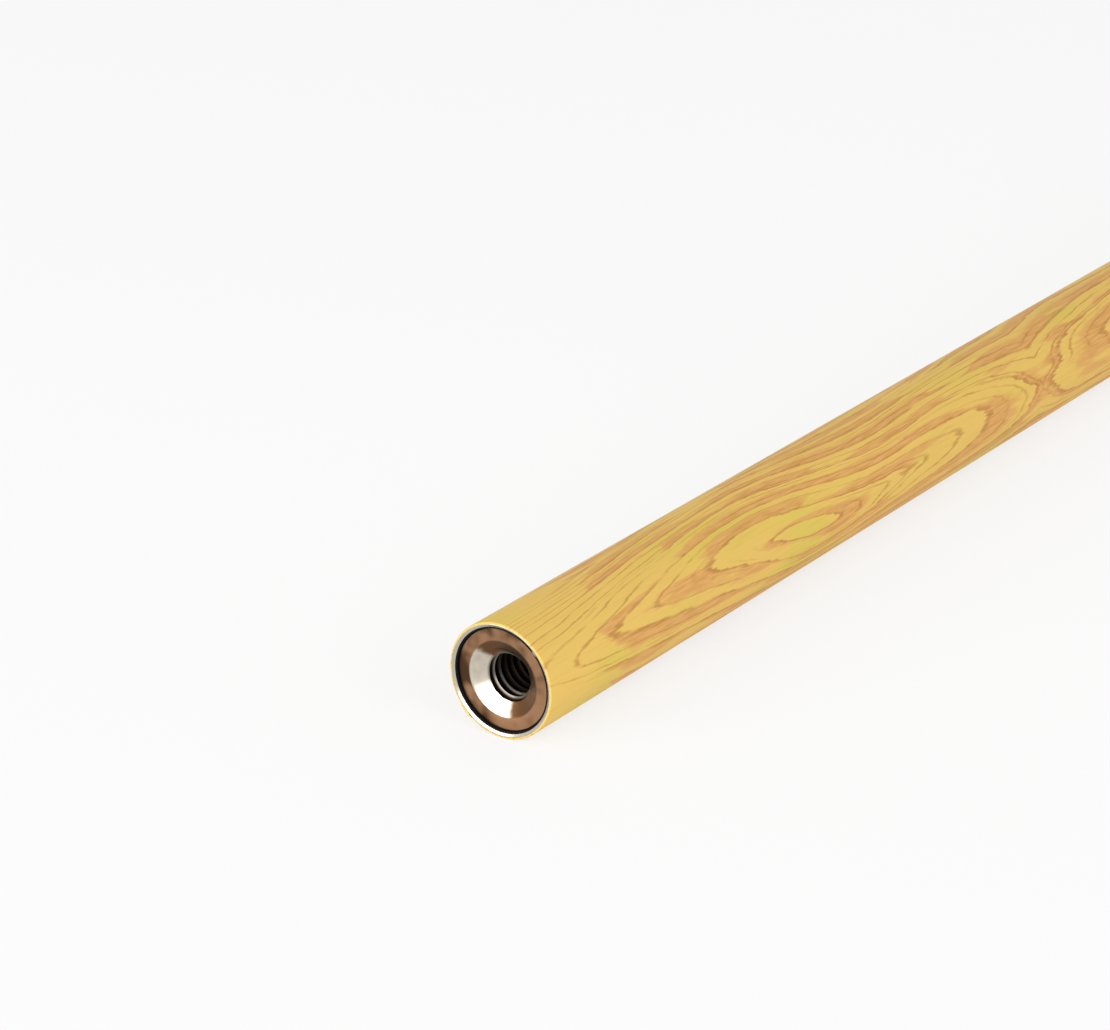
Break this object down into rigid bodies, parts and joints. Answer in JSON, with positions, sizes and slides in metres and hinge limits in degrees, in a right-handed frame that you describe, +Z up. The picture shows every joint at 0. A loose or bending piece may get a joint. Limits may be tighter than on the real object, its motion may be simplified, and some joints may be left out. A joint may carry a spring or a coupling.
{
  "type": "roller extension pole",
  "caption": "Fixed-length painting pole: thin steel tube in wood-grain film, threaded steel socket in a bush at one end, hanging cap at the other.",
  "frame": {"origin": "on the floor, midway along the pole, under its axis, with the pole lying down", "axes": "+X along the pole from the threaded socket to the hanging cap, +Z up, the hanging hole along Y"},
  "size_m": [1.2, 0.0254, 0.0254],
  "materials": {
    "tube_steel": "bright cut metal",
    "wood_grain_film": "satin printed wood grain",
    "black_nylon": "moulded matte",
    "nickel_plate": "bright nickel plate, tinted bronze",
    "black_plastic": "moulded fine satin"
  },
  "bodies": {
    "root": {"steel_tube": "tube_steel", "wood_grain_film": "wood_grain_film", "socket_bush": "black_nylon", "threaded_socket": "nickel_plate", "hanging_cap": "black_plastic"}
  },
  "joints": []
}
